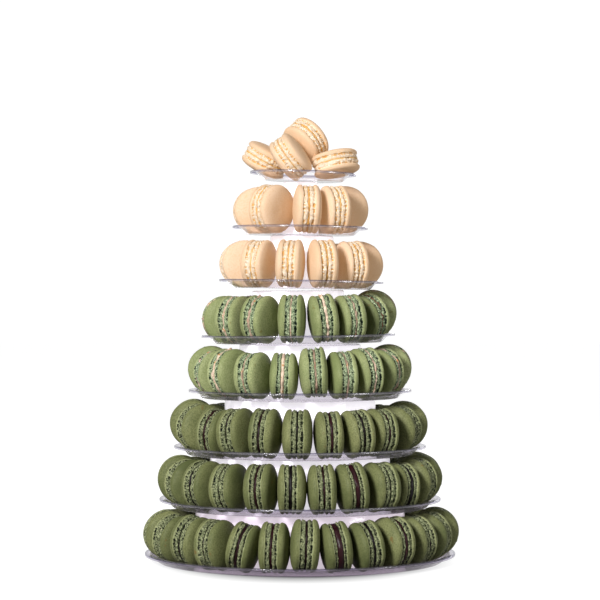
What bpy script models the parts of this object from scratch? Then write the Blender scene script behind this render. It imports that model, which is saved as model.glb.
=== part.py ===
"""A macaron tower: eight clear trays, each standing on the drum of the one below, with
macarons on edge all round seven of them and a small pile on the top one.

Metres, +Z up. The origin is on the table, on the tower's axis. The front faces -Y.
Tier 1 is the top tray. Azimuths are in degrees from the front, growing to the right.
"""

import math
import random
from collections import namedtuple

import bmesh
import bpy
from mathutils import Matrix, Vector

# Trays: thermoformed dishes with a flat lip, a wall at 45 degrees and a hollow drum.
TIER_COUNT = 8
TOP_LIP_RADIUS = 0.0531
LIP_RADIUS_STEP = 0.01456
LIP_HEIGHT = 0.0085
SHEET = 0.0008
WALL_INSET = 0.0135
WALL_SLOPE = 45
DRUM_INSET = 0.0500
DRUM_TAPER = 0.0007

# What rests on something keeps the gap to it, and macarons keep the clearance to walls
# and to neighbours that they don't press on.
GAP = 0.0003
CLEARANCE = 0.0004

# How each tier stands: how far it is off the axis, how far its right side dips, how
# many sides its round edges have, and how high its drum is. The top tray has no drum.
Stance = namedtuple("Stance", "shift dip sides drum")
STANCES = {
    1: Stance(0.0028, 1.7, 16, None),
    2: Stance(0.0, 0.7, 16, 0.0535),
    3: Stance(0.0011, 0.9, 16, 0.0532),
    4: Stance(-0.0015, -0.6, 20, 0.0524),
    5: Stance(0.0, 0.0, 20, 0.0539),
    6: Stance(0.0, 0.0, 24, 0.0555),
    7: Stance(0.0, 0.0, 24, 0.0520),
    8: Stance(0.0, 0.0, 24, 0.0540),
}

# Macarons: two domed shells with a foot each, and a groove where the filling is. Their
# heights are from the middle of the filling, and the crown is a share of the radius.
# Those round the back are up to the spread larger or smaller than usual.
MACARON_RADIUS = 0.02325
SIZE_SPREAD = 0.025
DOME_HEIGHT = 0.0134
FOOT_HEIGHT = 0.0050
GROOVE_DEPTH = 0.0022
CROWN_SHARE = 0.50
MACARON_SIDES = 8
SEED = 41

# In a crowded ring each dome goes this far past halfway to its neighbour, and the
# macarons round the back lean up to this many degrees either way.
PRESSED = 0.00025
LEAN_SPREAD = 2.5

# A macaron turned less than this from the radial direction faces its neighbours.
NEARLY_RADIAL = 12

# Where each macaron stands that shows: its azimuth, how far its disc is turned from the
# radial direction, how far its top leans to the right, how far it is moved outward and
# up, and how much larger than usual it is. One that is wedged high moves up the wall.
Spot = namedtuple("Spot", "azimuth turn lean outward raised size", defaults=(0.0,) * 5)

# Tiers whose macarons are separate.
LOOSE_TIERS = {
    2: [
        Spot(-87, 4, 0, 0, 0, 0.01),
        Spot(-41, 0, 3, 0, 0, 0.04),
        Spot(9, -4, 1, 0, 0, 0.035),
        Spot(51, -33, -2, -0.0006, 0, 0.03),
        Spot(104.5, -4, -2, 0.002, 0.002, 0.03),
    ],
    3: [
        Spot(-83, 4, 0, 0, 0, 0.01),
        Spot(-46, 24, 2, 0, 0, 0.01),
        Spot(-11, 5, 1, 0, 0, 0.02),
        Spot(21, -9, -2, 0, 0, 0.035),
        Spot(59, -38, -3, -0.0007, 0, 0.02),
        Spot(98, -4, -3, 0.001, 0.001, 0.01),
    ],
    4: [
        Spot(-87, 6, 2, 0, 0, 0.005),
        Spot(-59.5, 28, 2, -0.0007, 0, 0.015),
        Spot(-30, -3, 2, 0, 0, 0.01),
        Spot(-4.5, 0, 1, 0, 0, 0.03),
        Spot(19.5, -10, -7, 0, 0, 0.015),
        Spot(43.5, -24, -5, -0.0007, 0, 0.01),
        Spot(69, -24, -7, -0.0004, 0, 0.01),
        Spot(96, -10, -6, 0.003, 0.003, 0.03),
    ],
}

# Tiers whose macarons press on each other all round.
CROWDED_TIERS = {
    5: [
        Spot(-86, 0, 0, 0.0015, 0.004, 0.02),
        Spot(-69, 2, -1, 0, 0.001, 0.01),
        Spot(-51, 7, 0, 0.001, 0.002, 0.035),
        Spot(-31, 2, -1, 0, 0.001, -0.015),
        Spot(-10.5, 8, 2, 0, 0.001, -0.03),
        Spot(9.5, -8, -4, 0.0005, 0.0025, 0.05),
        Spot(28, -13, -3, 0, 0.001, 0.005),
        Spot(46, -19, -6, 0.001, 0.0015, 0.05),
        Spot(65, -8, -4, 0, 0.002, 0.02),
        Spot(84, 0, -2, 0.001, 0.005, 0.03),
    ],
    6: [
        Spot(-89, 0, 0, 0.0045, 0.006, 0.03),
        Spot(-72, 8, 0, 0.0015, 0.003, 0.03),
        Spot(-53, 20, 7, 0, 0.0005, 0.005),
        Spot(-36, 5, -4, 0, 0, 0.045),
        Spot(-19.5, 4, 3, 0, 0.0005, 0.045),
        Spot(-1.5, 1, 1, 0, 0, 0.045),
        Spot(16, -9, -2.5, 0, 0, 0.005),
        Spot(32.5, -12, -6, 0, 0.0005, 0.005),
        Spot(49, -21, 0, 0, 0.001, 0.005),
        Spot(68, -6, -3, 0.001, 0.002, 0.02),
        Spot(87, 0, 0, 0.002, 0.004, 0.04),
    ],
    7: [
        Spot(-85, 0, 0, 0.0025, 0.003, 0.03),
        Spot(-68, 5, 0, 0.001, 0.002, 0.02),
        Spot(-52, 12, 2, 0.001, 0.002, 0.03),
        Spot(-35.4, 7, -2, 0, 0.001, 0.025),
        Spot(-18.3, 3, -0.5, 0.001, 0.0015, 0.035),
        Spot(-4.4, 4.5, 0.5, 0.001, 0.0015, 0.025),
        Spot(10.8, -8, -2.5, 0.0005, 0.001, 0.03),
        Spot(25, -10.5, -7, 0.0005, 0.001, 0.045),
        Spot(41, -13, -2, 0.0005, 0.001, 0.045),
        Spot(56, -22, 1, 0, 0.001, -0.01),
        Spot(71, -12, -2, 0.0015, 0.0025, 0.03),
        Spot(86, 0, -1, 0.002, 0.004, 0.03),
        Spot(100, 0, 0, 0.003, 0.004, 0.035),
    ],
    8: [
        Spot(-81, 4, 0, 0.0015, 0.003, 0.05),
        Spot(-68, 18, 8, 0.001, 0.002, 0.03),
        Spot(-51, 14, 7, 0.0015, 0.003, 0.045),
        Spot(-37.5, 6, -1, 0.001, 0.001, 0.06),
        Spot(-24, 9, 13, 0.001, 0.001, 0.02),
        Spot(-11, 5, 2, 0.001, 0.001, 0.05),
        Spot(2.3, -1, 2.5, 0.002, 0.0025, 0.085),
        Spot(15, -5, -7, 0.001, 0.0015, 0.035),
        Spot(28.5, -8, -9, 0.001, 0.0015, 0.035),
        Spot(42, -7, -5, 0.002, 0.0025, 0.07),
        Spot(56, -8, -4, 0.001, 0.002, 0.06),
        Spot(69.5, -3, -2, 0.002, 0.0035, 0.05),
        Spot(84, 0, 0, 0.004, 0.0055, 0.04),
    ],
}

# The pile on the top tray: the middle of each macaron, the direction of its axis by how
# far it rises from the right and how far it comes toward the front, and how high its
# domes are. These show all over, so they have more sides and a shoulder, by shares of the
# radius and the height.
PILE_SIDES = 12
PILE_CROWN_SHARE = 0.45
SHOULDER_OUT = 0.84
SHOULDER_UP = 0.76
Piled = namedtuple("Piled", "x y z rise toward dome")
PILE = [
    Piled(-0.0342, 0.0125, 0.40064, 62, 8, 0.0134),
    Piled(-0.0092, -0.0220, 0.40169, 36, 10, 0.0134),
    Piled(0.0060, 0.0077, 0.41912, 41, -26, 0.0134),
    Piled(0.0355, -0.0102, 0.39567, 101, -9, 0.0119),
]

CREAM = (0.80, 0.58, 0.37)
SAGE = (0.27, 0.36, 0.15)
OLIVE = (0.20, 0.25, 0.08)
TIER_COLOURS = {1: CREAM, 2: CREAM, 3: CREAM, 4: SAGE, 5: SAGE, 6: OLIVE, 7: OLIVE, 8: OLIVE}
SHELL_ROUGHNESS = 0.6
PLASTIC_TINT = (0.93, 0.92, 0.96)
PLASTIC_ROUGHNESS = 0.06
PLASTIC_ALPHA = 0.25
SMOOTH_UNDER = math.radians(35)
SAME_POINT = 1e-6


def clear_scene():
    for thing in list(bpy.data.objects):
        bpy.data.objects.remove(thing, do_unlink=True)


def material(name, colour, roughness, alpha=1.0):
    made = bpy.data.materials.new(name)
    made.use_nodes = True
    shader = made.node_tree.nodes["Principled BSDF"]
    shader.inputs["Base Color"].default_value = (*colour, 1.0)
    shader.inputs["Roughness"].default_value = roughness
    shader.inputs["Metallic"].default_value = 0.0
    shader.inputs["Alpha"].default_value = alpha
    return made


def add_object(name, mesh, parent, look):
    thing = bpy.data.objects.new(name, mesh)
    bpy.context.scene.collection.objects.link(thing)
    thing.parent = parent
    mesh.materials.append(look)
    mesh.shade_smooth()
    mesh.set_sharp_from_angle(angle=SMOOTH_UNDER)
    return thing


def turned_mesh(name, profile, sides):
    """A closed solid turned about Z from (radius, height) points, capped flat at both ends."""
    bm = bmesh.new()
    points = [bm.verts.new((radius, 0, height)) for radius, height in profile]
    lines = [bm.edges.new(pair) for pair in zip(points, points[1:])]
    bmesh.ops.spin(
        bm, geom=points + lines, cent=(0, 0, 0), axis=(0, 0, 1), angle=math.tau, steps=sides
    )
    bmesh.ops.remove_doubles(bm, verts=bm.verts, dist=SAME_POINT)
    bmesh.ops.holes_fill(bm, edges=[edge for edge in bm.edges if edge.is_boundary])
    bmesh.ops.recalc_face_normals(bm, faces=bm.faces)
    mesh = bpy.data.meshes.new(name)
    bm.to_mesh(mesh)
    bm.free()
    return mesh


def lip_radius(tier):
    return TOP_LIP_RADIUS + (tier - 1) * LIP_RADIUS_STEP


def drum_radius(tier):
    return lip_radius(tier) - DRUM_INSET


def tier_height(tier):
    """How high the underside of a tier's tray is. A tray that dips more or less than the
    one below stands on the edge of that one's drum."""
    height = 0.0
    for lower in range(TIER_COUNT, tier, -1):
        tip = math.radians(abs(STANCES[lower - 1].dip - STANCES[lower].dip))
        height += STANCES[lower].drum + GAP + drum_radius(lower) * math.sin(tip)
    return height


def dish_profile(tier):
    """The lip and the wall, from the floor's edge underneath round to its edge on top."""
    outer = lip_radius(tier)
    floor_edge = outer - WALL_INSET
    wall_top = floor_edge + LIP_HEIGHT - SHEET
    bend = SHEET * math.tan(math.radians(WALL_SLOPE / 2))
    return [
        (floor_edge, 0),
        (wall_top, LIP_HEIGHT - SHEET),
        (outer, LIP_HEIGHT - SHEET),
        (outer, LIP_HEIGHT),
        (wall_top - bend, LIP_HEIGHT),
        (floor_edge - bend, SHEET),
    ]


def corner_share(sides):
    """How much further out a polygon's corners are than the circle of the same area."""
    half = math.pi / sides
    return math.sqrt(half / (math.sin(half) * math.cos(half)))


def tray_profile(tier):
    """The whole cut through a tray. The drum is open below and closed on top."""
    if tier == 1:
        return dish_profile(tier)
    base = drum_radius(tier) + DRUM_TAPER
    top = drum_radius(tier) - DRUM_TAPER
    height = STANCES[tier].drum
    hollow = [(top - SHEET, height - SHEET), (base - SHEET, 0)]
    drum = [(base, SHEET), (top, height)]
    return hollow + dish_profile(tier) + drum


def add_tier_frame(tier, tower):
    """An empty at the middle of a tray's underside, dipped as the tray is."""
    frame = bpy.data.objects.new(f"tier_{tier}", None)
    bpy.context.scene.collection.objects.link(frame)
    frame.parent = tower
    frame.location = (STANCES[tier].shift, 0, tier_height(tier))
    frame.rotation_euler = (0, math.radians(STANCES[tier].dip), 0)
    return frame


def add_tray(tier, frame, look):
    sides = STANCES[tier].sides
    share = corner_share(sides)
    profile = [(radius * share, height) for radius, height in tray_profile(tier)]
    mesh = turned_mesh(f"tray_{tier}", profile, sides)
    add_object(f"tray_{tier}", mesh, frame, look)


def flat_radius(radius):
    """From the middle to the flats of a macaron on edge."""
    return radius * corner_share(MACARON_SIDES) * math.cos(math.pi / MACARON_SIDES)


def macaron_mesh(name, left_dome, middle, right_dome, sides):
    """A macaron with its axis along X and flats below and above, from the three
    stretches of its profile."""
    mesh = turned_mesh(name, left_dome + middle + right_dome, sides)
    half_step = Matrix.Rotation(math.pi / sides, 4, "Z")
    mesh.transform(Matrix.Rotation(math.pi / 2, 4, "Y") @ half_step)
    return mesh


def feet_profile(corner):
    """The edges of the two feet, with the groove between them."""
    return [(corner, -FOOT_HEIGHT), (corner - GROOVE_DEPTH, 0), (corner, FOOT_HEIGHT)]


def standing_macaron(name, radius, left, right):
    """A macaron on edge. left and right are how high its two domes are."""
    corner = radius * corner_share(MACARON_SIDES)
    crown = CROWN_SHARE * corner
    middle = feet_profile(corner)
    return macaron_mesh(name, [(crown, -left)], middle, [(crown, right)], MACARON_SIDES)


def piled_macaron(name, dome):
    corner = MACARON_RADIUS * corner_share(PILE_SIDES)
    crown = (PILE_CROWN_SHARE * corner, dome)
    shoulder = (SHOULDER_OUT * corner, SHOULDER_UP * dome)
    right_dome = [shoulder, crown]
    left_dome = [(radius, -height) for radius, height in reversed(right_dome)]
    return macaron_mesh(name, left_dome, feet_profile(corner), right_dome, PILE_SIDES)


def ring_radius(tier, radius):
    """How far from the axis a macaron's middle is when it stands on the floor against
    the flats of the wall. Its foot is wide, so it meets the round wall a little sooner."""
    slant = 1 / math.cos(math.radians(WALL_SLOPE))
    sides = STANCES[tier].sides
    wall = lip_radius(tier) - WALL_INSET - slant * SHEET
    flats = wall * corner_share(sides) * math.cos(math.pi / sides)
    sooner = FOOT_HEIGHT**2 / (2 * wall)
    return flats - sooner + SHEET + GAP + radius - slant * (radius + CLEARANCE)


def standing(tier, spot, radius):
    """Where a macaron on edge is in its tier's frame."""
    lean = math.radians(spot.lean)
    reach = flat_radius(radius) * math.cos(lean) + FOOT_HEIGHT * abs(math.sin(lean))
    out = ring_radius(tier, radius) + spot.outward
    around = Matrix.Rotation(math.radians(spot.azimuth), 4, "Z")
    place = around @ Matrix.Translation((0, -out, SHEET + GAP + reach + spot.raised))
    turn = Matrix.Rotation(math.radians(spot.turn), 4, "Z")
    return place @ turn @ Matrix.Rotation(lean, 4, "Y")


def with_back(front, draw, lean_spread):
    """The front spots and, at their mean spacing, the uneven ones round the back."""
    first, last = front[0].azimuth, front[-1].azimuth
    spacing = (last - first) / (len(front) - 1)
    behind = first + 360 - last
    count = round(behind / spacing) - 1
    spots = list(front)
    for index in range(1, count + 1):
        lean = draw.uniform(-lean_spread, lean_spread)
        size = draw.uniform(-SIZE_SPREAD, SIZE_SPREAD)
        spots.append(Spot(last + behind * index / (count + 1), lean=lean, size=size))
    return spots


def skew(spot, neighbour):
    """How far a dome is turned from facing the plane halfway to its neighbour. Its side
    toward the tower's axis is the nearer one where this is positive."""
    apart = (neighbour.azimuth - spot.azimuth + 180) % 360 - 180
    return math.radians(abs(apart) / 2 - math.copysign(1, apart) * spot.turn)


def dome_reach(tier, radius, spot, neighbour):
    """How high a dome is that just meets its neighbour's, halfway between them. Two that
    come near the halfway plane with opposite sides are higher, so that they meet too."""
    crown = CROWN_SHARE * flat_radius(radius)
    apart = abs(neighbour.azimuth - spot.azimuth) % 360
    half = math.radians(min(apart, 360 - apart) / 2)
    out = ring_radius(tier, radius) + spot.outward
    own, other = skew(spot, neighbour), skew(neighbour, spot)
    reach = (out * math.sin(half) - crown * abs(math.sin(own))) / math.cos(own)
    if own * other < 0:
        reach += crown * math.sin(min(abs(own), abs(other)))
    return reach


def loose_dome(tier, radius, spot, neighbour):
    """The usual height, or less where it would meet a neighbour that is radial too."""
    if max(abs(spot.turn), abs(neighbour.turn)) > NEARLY_RADIAL:
        return DOME_HEIGHT
    return min(DOME_HEIGHT, dome_reach(tier, radius, spot, neighbour) - CLEARANCE)


def add_loose_macarons(tier, frame, look):
    spots = with_back(LOOSE_TIERS[tier], random.Random(SEED + tier), 0)
    for index, spot in enumerate(spots):
        radius = MACARON_RADIUS * (1 + spot.size)
        left = loose_dome(tier, radius, spot, spots[index - 1])
        right = loose_dome(tier, radius, spot, spots[(index + 1) % len(spots)])
        name = f"tier{tier}_macaron_{index + 1:02d}"
        mesh = standing_macaron(name, radius, left, right)
        add_object(name, mesh, frame, look).matrix_local = standing(tier, spot, radius)


def crowded_pieces(tier, look):
    """The macarons of a full ring in their tier's frame, each as an object of its own."""
    spots = with_back(CROWDED_TIERS[tier], random.Random(SEED + tier), LEAN_SPREAD)
    pieces = []
    for index, spot in enumerate(spots):
        radius = MACARON_RADIUS * (1 + spot.size)
        left = dome_reach(tier, radius, spot, spots[index - 1]) + PRESSED
        right = dome_reach(tier, radius, spot, spots[(index + 1) % len(spots)]) + PRESSED
        mesh = standing_macaron("macaron", radius, left, right)
        mesh.transform(standing(tier, spot, radius))
        pieces.append(add_object("macaron", mesh, None, look))
    return pieces


def fuse(body, others):
    """Joins the other objects to the body that they touch, and removes them."""
    group = bpy.data.collections.new("touching")
    bpy.context.scene.collection.children.link(group)
    for piece in others:
        bpy.context.scene.collection.objects.unlink(piece)
        group.objects.link(piece)
    union = body.modifiers.new("union", "BOOLEAN")
    union.operation = "UNION"
    union.operand_type = "COLLECTION"
    union.collection = group
    state = bpy.context.evaluated_depsgraph_get()
    joined = bpy.data.meshes.new_from_object(body.evaluated_get(state))
    body.modifiers.clear()
    body.data = joined
    for piece in others:
        bpy.data.objects.remove(piece, do_unlink=True)
    bpy.data.collections.remove(group)


def add_crowded_macarons(tier, frame, look):
    pieces = crowded_pieces(tier, look)
    ring = pieces[0]
    fuse(ring, pieces[1:])
    ring.name = f"macaron_ring_{tier}"
    ring.parent = frame


def add_pile(tower, look):
    for number, piled in enumerate(PILE, 1):
        rise = math.radians(piled.rise)
        toward = math.radians(piled.toward)
        level = math.cos(toward)
        axis = Vector((level * math.cos(rise), -math.sin(toward), level * math.sin(rise)))
        name = f"top_macaron_{number}"
        macaron = add_object(name, piled_macaron(name, piled.dome), tower, look)
        macaron.location = (piled.x, piled.y, piled.z)
        macaron.rotation_euler = axis.to_track_quat("X", "Z").to_euler()


def add_tier(tier, tower, plastic):
    frame = add_tier_frame(tier, tower)
    add_tray(tier, frame, plastic)
    shell = material(f"shells_{tier}", TIER_COLOURS[tier], SHELL_ROUGHNESS)
    if tier == 1:
        add_pile(tower, shell)
    elif tier in LOOSE_TIERS:
        add_loose_macarons(tier, frame, shell)
    else:
        add_crowded_macarons(tier, frame, shell)


def main():
    clear_scene()
    tower = bpy.data.objects.new("tower", None)
    bpy.context.scene.collection.objects.link(tower)
    plastic = material("clear_plastic", PLASTIC_TINT, PLASTIC_ROUGHNESS, PLASTIC_ALPHA)
    for tier in range(1, TIER_COUNT + 1):
        add_tier(tier, tower, plastic)


main()
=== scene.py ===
"""Looks of the macaron tower: clear trays, biscuit shells with ruffled feet, and fillings.

Metres, +Z up, front at -Y. The trays' and the macarons' places are worked out from the
same driving sizes as the solids that they replace. Tier 1 is the top tray.
"""

import math
import random
from collections import namedtuple

import bpy
import numpy as np
from mathutils import Matrix, Vector


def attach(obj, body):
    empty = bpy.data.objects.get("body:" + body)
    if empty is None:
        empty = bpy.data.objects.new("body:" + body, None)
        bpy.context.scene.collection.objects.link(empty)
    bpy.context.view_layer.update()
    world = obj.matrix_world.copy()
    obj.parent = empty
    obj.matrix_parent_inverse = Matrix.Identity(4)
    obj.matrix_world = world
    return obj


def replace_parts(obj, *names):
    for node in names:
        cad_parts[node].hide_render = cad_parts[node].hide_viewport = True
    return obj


# Trays, as in the solids.
TIER_COUNT = 8
TOP_LIP_RADIUS = 0.0531
LIP_RADIUS_STEP = 0.01456
LIP_HEIGHT = 0.0085
SOLID_SHEET = 0.0008
WALL_INSET = 0.0135
WALL_SLOPE = 45
DRUM_INSET = 0.0500
DRUM_TAPER = 0.0007
GAP = 0.0003
CLEARANCE = 0.0004

# How each tier stands: how far it is off the axis, how far its right side dips, how
# many sides its round edges have, and how high its drum is. The top tray has no drum.
Stance = namedtuple("Stance", "shift dip sides drum")
STANCES = {
    1: Stance(0.0028, 1.7, 16, None),
    2: Stance(0.0, 0.7, 16, 0.0535),
    3: Stance(0.0011, 0.9, 16, 0.0532),
    4: Stance(-0.0015, -0.6, 20, 0.0524),
    5: Stance(0.0, 0.0, 20, 0.0539),
    6: Stance(0.0, 0.0, 24, 0.0555),
    7: Stance(0.0, 0.0, 24, 0.0520),
    8: Stance(0.0, 0.0, 24, 0.0540),
}

# Macarons, as in the solids. Heights are from the middle of the filling.
MACARON_RADIUS = 0.02325
SIZE_SPREAD = 0.025
DOME_HEIGHT = 0.0134
FOOT_HEIGHT = 0.0050
CROWN_SHARE = 0.50
MACARON_SIDES = 8
LEAN_SPREAD = 2.5
NEARLY_RADIAL = 12
SEED = 41
SEED_STEP = 10

# Where each macaron stands that shows: its azimuth, how far its disc is turned from the
# radial direction, how far its top leans to the right, how far it is moved outward and
# up, and how much larger than usual it is.
Spot = namedtuple("Spot", "azimuth turn lean outward raised size", defaults=(0.0,) * 5)
LOOSE_TIERS = {
    2: [
        Spot(-87, 4, 0, 0, 0, 0.01),
        Spot(-41, 0, 3, 0, 0, 0.04),
        Spot(9, -4, 1, 0, 0, 0.035),
        Spot(51, -33, -2, -0.0006, 0, 0.03),
        Spot(104.5, -4, -2, 0.002, 0.002, 0.03),
    ],
    3: [
        Spot(-83, 4, 0, 0, 0, 0.01),
        Spot(-46, 24, 2, 0, 0, 0.01),
        Spot(-11, 5, 1, 0, 0, 0.02),
        Spot(21, -9, -2, 0, 0, 0.035),
        Spot(59, -38, -3, -0.0007, 0, 0.02),
        Spot(98, -4, -3, 0.001, 0.001, 0.01),
    ],
    4: [
        Spot(-87, 6, 2, 0, 0, 0.005),
        Spot(-59.5, 28, 2, -0.0007, 0, 0.015),
        Spot(-30, -3, 2, 0, 0, 0.01),
        Spot(-4.5, 0, 1, 0, 0, 0.03),
        Spot(19.5, -10, -7, 0, 0, 0.015),
        Spot(43.5, -24, -5, -0.0007, 0, 0.01),
        Spot(69, -24, -7, -0.0004, 0, 0.01),
        Spot(96, -10, -6, 0.003, 0.003, 0.03),
    ],
}
CROWDED_TIERS = {
    5: [
        Spot(-86, 0, 0, 0.0015, 0.004, 0.02),
        Spot(-69, 2, -1, 0, 0.001, 0.01),
        Spot(-51, 7, 0, 0.001, 0.002, 0.035),
        Spot(-31, 2, -1, 0, 0.001, -0.015),
        Spot(-10.5, 8, 2, 0, 0.001, -0.03),
        Spot(9.5, -8, -4, 0.0005, 0.0025, 0.05),
        Spot(28, -13, -3, 0, 0.001, 0.005),
        Spot(46, -19, -6, 0.001, 0.0015, 0.05),
        Spot(65, -8, -4, 0, 0.002, 0.02),
        Spot(84, 0, -2, 0.001, 0.005, 0.03),
    ],
    6: [
        Spot(-89, 0, 0, 0.0045, 0.006, 0.03),
        Spot(-72, 8, 0, 0.0015, 0.003, 0.03),
        Spot(-53, 20, 7, 0, 0.0005, 0.005),
        Spot(-36, 5, -4, 0, 0, 0.045),
        Spot(-19.5, 4, 3, 0, 0.0005, 0.045),
        Spot(-1.5, 1, 1, 0, 0, 0.045),
        Spot(16, -9, -2.5, 0, 0, 0.005),
        Spot(32.5, -12, -6, 0, 0.0005, 0.005),
        Spot(49, -21, 0, 0, 0.001, 0.005),
        Spot(68, -6, -3, 0.001, 0.002, 0.02),
        Spot(87, 0, 0, 0.002, 0.004, 0.04),
    ],
    7: [
        Spot(-85, 0, 0, 0.0025, 0.003, 0.03),
        Spot(-68, 5, 0, 0.001, 0.002, 0.02),
        Spot(-52, 12, 2, 0.001, 0.002, 0.03),
        Spot(-35.4, 7, -2, 0, 0.001, 0.025),
        Spot(-18.3, 3, -0.5, 0.001, 0.0015, 0.035),
        Spot(-4.4, 4.5, 0.5, 0.001, 0.0015, 0.025),
        Spot(10.8, -8, -2.5, 0.0005, 0.001, 0.03),
        Spot(25, -10.5, -7, 0.0005, 0.001, 0.045),
        Spot(41, -13, -2, 0.0005, 0.001, 0.045),
        Spot(56, -22, 1, 0, 0.001, -0.01),
        Spot(71, -12, -2, 0.0015, 0.0025, 0.03),
        Spot(86, 0, -1, 0.002, 0.004, 0.03),
        Spot(100, 0, 0, 0.003, 0.004, 0.035),
    ],
    8: [
        Spot(-81, 4, 0, 0.0015, 0.003, 0.05),
        Spot(-68, 18, 8, 0.001, 0.002, 0.03),
        Spot(-51, 14, 7, 0.0015, 0.003, 0.045),
        Spot(-37.5, 6, -1, 0.001, 0.001, 0.06),
        Spot(-24, 9, 13, 0.001, 0.001, 0.02),
        Spot(-11, 5, 2, 0.001, 0.001, 0.05),
        Spot(2.3, -1, 2.5, 0.002, 0.0025, 0.085),
        Spot(15, -5, -7, 0.001, 0.0015, 0.035),
        Spot(28.5, -8, -9, 0.001, 0.0015, 0.035),
        Spot(42, -7, -5, 0.002, 0.0025, 0.07),
        Spot(56, -8, -4, 0.001, 0.002, 0.06),
        Spot(69.5, -3, -2, 0.002, 0.0035, 0.05),
        Spot(84, 0, 0, 0.004, 0.0055, 0.04),
    ],
}

# The pile on the top tray: the middle of each macaron, the direction of its axis by how
# far it rises from the right and how far it comes toward the front, and how high its
# domes are.
Piled = namedtuple("Piled", "x y z rise toward dome")
PILE = [
    Piled(-0.0342, 0.0125, 0.40064, 62, 8, 0.0134),
    Piled(-0.0092, -0.0220, 0.40169, 36, 10, 0.0134),
    Piled(0.0060, 0.0077, 0.41912, 41, -26, 0.0134),
    Piled(0.0355, -0.0102, 0.39567, 101, -9, 0.0119),
]

# The kinds of macaron: their looks, how deep a thin filling and a thick one lie, and how
# uneven the filling's edge is.
Kind = namedtuple("Kind", "shell filling thin_inset thick_inset relief")
VANILLA = Kind("cream_shell", "golden_filling", 0.0015, 0.0010, 0.0004)
PISTACHIO = Kind("sage_shell", "caramel_filling", 0.0016, 0.0004, 0.0008)
BERRY = Kind("olive_shell", "berry_filling", 0.0028, 0.0008, 0.0003)
KINDS = dict(enumerate(3 * [VANILLA] + 2 * [PISTACHIO] + 3 * [BERRY], start=1))

# The fillings from left to right: how thick each is in millimetres, and how light.
MILLIMETRES = 1000
FILLINGS = {
    1: [(1.0, 0.5), (0.9, 0.3), (1.3, 0.2), (0.8, 0.6)],
    2: [(0.9, 0.5), (1.3, 0.3), (1.5, 0.1), (1.2, 0.4), (0.9, 0.5)],
    3: [(0.9, 0.6), (0.8, 0.6), (1.1, 0.3), (1.6, 0.2), (1.3, 0.2), (0.9, 0.5)],
    4: [(1.2, 0.8), (1.9, 0.8), (2.3, 0.5), (1.2, 0.9), (2.6, 1.0), (1.6, 0.6), (1.0, 0.0),
        (1.8, 0.4)],
    5: [(1.2, 0.5), (1.2, 0.6), (2.4, 0.9), (1.4, 0.5), (3.2, 0.9), (1.6, 0.4), (1.6, 0.5),
        (1.4, 0.8), (1.4, 0.5), (1.4, 0.5)],
    6: [(1.4, 0.4), (1.6, 0.4), (2.8, 0.8), (1.6, 0.2), (2.2, 0.4), (1.4, 0.0), (2.8, 0.9),
        (2.6, 0.1), (2.0, 0.6), (1.2, 0.3), (1.4, 0.4)],
    7: [(1.4, 0.4), (1.6, 0.8), (2.2, 0.0), (1.2, 0.2), (2.2, 0.8), (3.0, 0.0), (1.8, 0.7),
        (4.8, 0.9), (1.7, 0.1), (3.6, 0.0), (1.4, 0.4), (1.6, 0.4), (1.4, 0.5)],
    8: [(1.4, 0.4), (1.3, 1.0), (2.2, 0.0), (1.3, 0.2), (3.0, 0.4), (2.2, 0.8), (2.2, 0.3),
        (6.0, 0.8), (2.4, 0.0), (3.2, 0.8), (1.4, 0.2), (1.4, 1.0), (1.6, 0.5)],
}

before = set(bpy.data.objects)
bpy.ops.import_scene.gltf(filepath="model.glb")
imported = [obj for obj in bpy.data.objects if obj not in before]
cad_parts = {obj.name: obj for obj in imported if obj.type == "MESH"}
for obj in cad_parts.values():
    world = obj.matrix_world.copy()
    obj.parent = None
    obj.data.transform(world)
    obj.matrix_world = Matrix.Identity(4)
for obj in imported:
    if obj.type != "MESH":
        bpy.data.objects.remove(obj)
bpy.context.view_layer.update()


# --- sizes and places, as in the solids -------------------------------------------------

def lip_radius(tier):
    return TOP_LIP_RADIUS + (tier - 1) * LIP_RADIUS_STEP


def drum_radius(tier):
    return lip_radius(tier) - DRUM_INSET


def tier_height(tier):
    """How high the underside of a tier's tray is. A tray that dips more or less than the
    one below stands on the edge of that one's drum."""
    height = 0.0
    for lower in range(TIER_COUNT, tier, -1):
        tip = math.radians(abs(STANCES[lower - 1].dip - STANCES[lower].dip))
        height += STANCES[lower].drum + GAP + drum_radius(lower) * math.sin(tip)
    return height


def tier_matrix(tier):
    place = Matrix.Translation((STANCES[tier].shift, 0, tier_height(tier)))
    return place @ Matrix.Rotation(math.radians(STANCES[tier].dip), 4, "Y")


def corner_share(sides):
    """How much further out a polygon's corners are than the circle of the same area."""
    half = math.pi / sides
    return math.sqrt(half / (math.sin(half) * math.cos(half)))


def flat_radius(radius):
    """From the middle to the flats of a macaron on edge."""
    return radius * corner_share(MACARON_SIDES) * math.cos(math.pi / MACARON_SIDES)


def ring_radius(tier, radius):
    """How far from the axis a macaron's middle is when it stands on the floor against
    the flats of the wall. Its foot is wide, so it meets the round wall a little sooner."""
    slant = 1 / math.cos(math.radians(WALL_SLOPE))
    sides = STANCES[tier].sides
    wall = lip_radius(tier) - WALL_INSET - slant * SOLID_SHEET
    flats = wall * corner_share(sides) * math.cos(math.pi / sides)
    sooner = FOOT_HEIGHT**2 / (2 * wall)
    return flats - sooner + SOLID_SHEET + GAP + radius - slant * (radius + CLEARANCE)


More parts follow.
